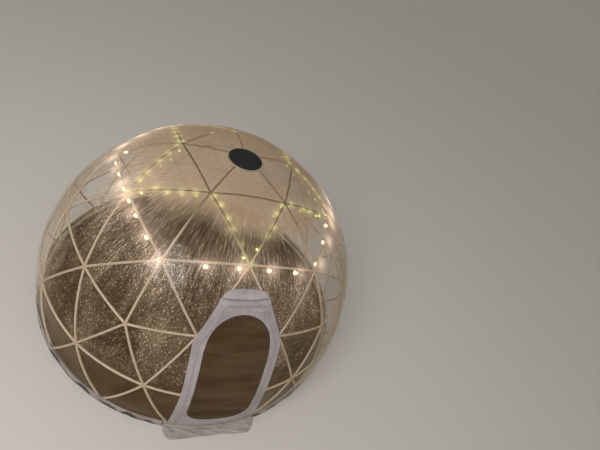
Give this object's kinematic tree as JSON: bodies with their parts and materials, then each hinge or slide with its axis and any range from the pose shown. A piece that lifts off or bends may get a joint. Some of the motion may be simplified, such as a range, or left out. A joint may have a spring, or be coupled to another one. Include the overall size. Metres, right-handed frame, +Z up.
{
  "type": "geodesic garden igloo",
  "caption": "Walk-in geodesic garden igloo: white tube and hub frame under clear film panels, arched zipped door, round mesh vent, base hem and floor mat.",
  "frame": {"origin": "on the dome's upright axis at ground level, on the underside of the floor mat", "axes": "+Z up, the door faces -Y, the halves left and right of the door mirror across X = 0"},
  "size_m": [3.6232, 3.6988, 2.1316],
  "materials": {
    "tube": "satin white extruded plastic tube",
    "hub": "moulded white plastic",
    "clear_film": "clear flexible film, fogged near the top",
    "white_sheet": "white coated sheet, creased",
    "hem_sheet": "grey-white coated hem",
    "zip_tape": "woven zip tape with moulded coils",
    "zip_metal": "plated slider tag",
    "vent_mesh": "fine black insect mesh",
    "floor_mat": "brown woven mat",
    "wire": "black covered flex",
    "lamp_globe": "warm frosted globe",
    "fairy_wire": "green covered wire"
  },
  "bodies": {
    "root": {"crown_hub": "hub", "hubs_ring_1": "hub", "hubs_ring_2": "hub", "hubs_ring_3": "hub", "hubs_ring_4": "hub", "hubs_base": "hub", "post_joints": "hub", "struts_crown": "tube", "struts_ring_1": "tube", "struts_1_to_2": "tube", "struts_ring_2": "tube", "struts_2_to_3": "tube", "struts_ring_3": "tube", "struts_3_to_4": "tube", "struts_ring_4": "tube", "struts_4_to_base": "tube", "struts_base": "tube", "door_post_left": "tube", "door_post_right": "tube", "door_side_spurs": "tube", "door_surround": "white_sheet", "door_panel": "white_sheet", "door_window": "clear_film", "door_zip": "zip_tape", "zip_pull": "zip_metal", "sill_flap": "white_sheet", "cover_crown": "clear_film", "cover_upper": "clear_film", "cover_middle": "clear_film", "cover_lower": "clear_film", "cover_skirt": "clear_film", "door_side_panels": "clear_film", "door_head_panel": "clear_film", "vent_mesh": "vent_mesh", "vent_rim": "white_sheet", "base_hem": "hem_sheet", "floor_mat": "floor_mat", "festoon_wire": "wire", "festoon_lamps": "lamp_globe", "fairy_wire": "fairy_wire"}
  },
  "joints": []
}
